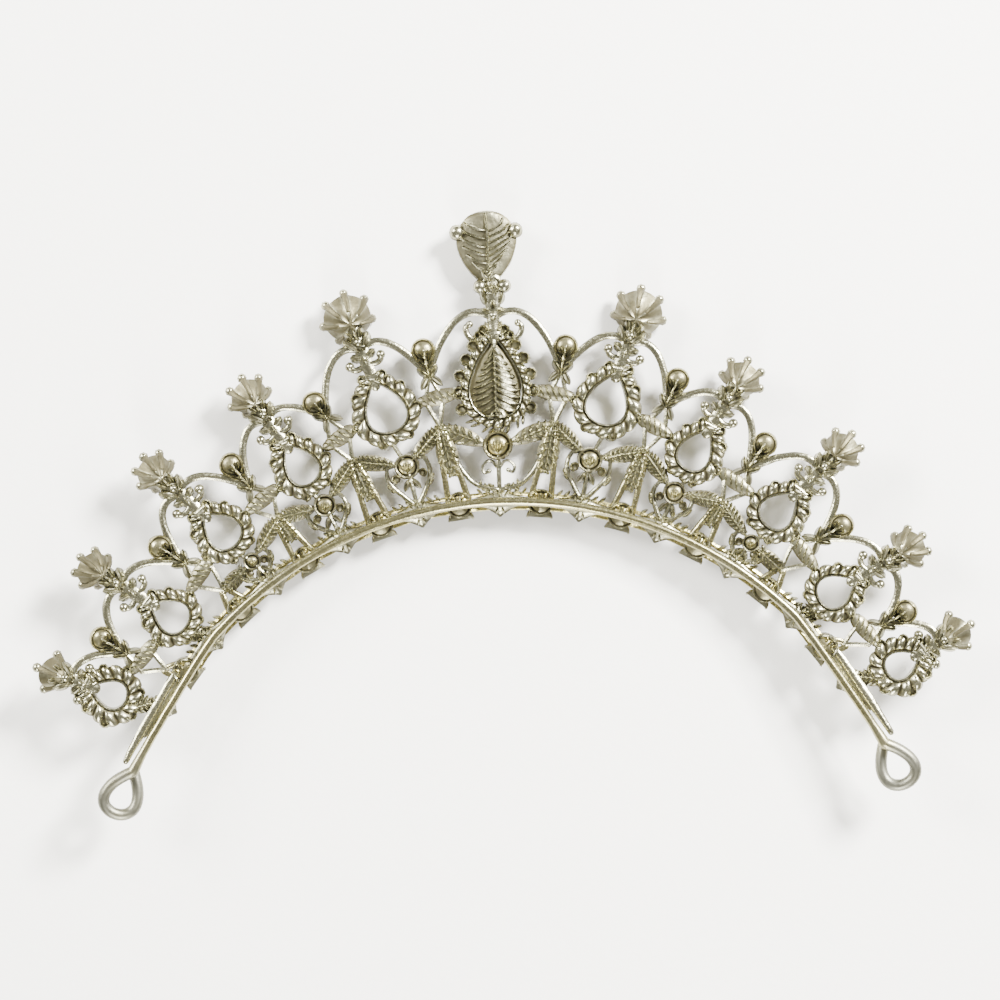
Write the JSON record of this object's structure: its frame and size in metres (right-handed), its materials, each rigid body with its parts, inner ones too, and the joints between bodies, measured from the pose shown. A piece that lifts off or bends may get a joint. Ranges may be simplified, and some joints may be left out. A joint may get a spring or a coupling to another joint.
{
  "type": "tiara frame",
  "caption": "Arched openwork metal tiara frame with graded claw finials, pear-shaped rings and an eye at each end of its band wire.",
  "frame": {"origin": "middle of the bounding box on the surface that the tiara lies on, front down", "axes": "+X along the tiara from its left end to its right end in the back view, +Y from the end eyes to the top setting, +Z away from the surface, out of the plain back"},
  "size_m": [0.1498, 0.0952, 0.0106],
  "materials": {
    "cast_silver": "antique silver plate, satin, darker in the recesses",
    "band_wire": "satin drawn wire, warmer than the casting, greyed at the eyes"
  },
  "bodies": {
    "root": {"openwork_casting": "cast_silver", "band_wire": "band_wire"}
  },
  "joints": []
}
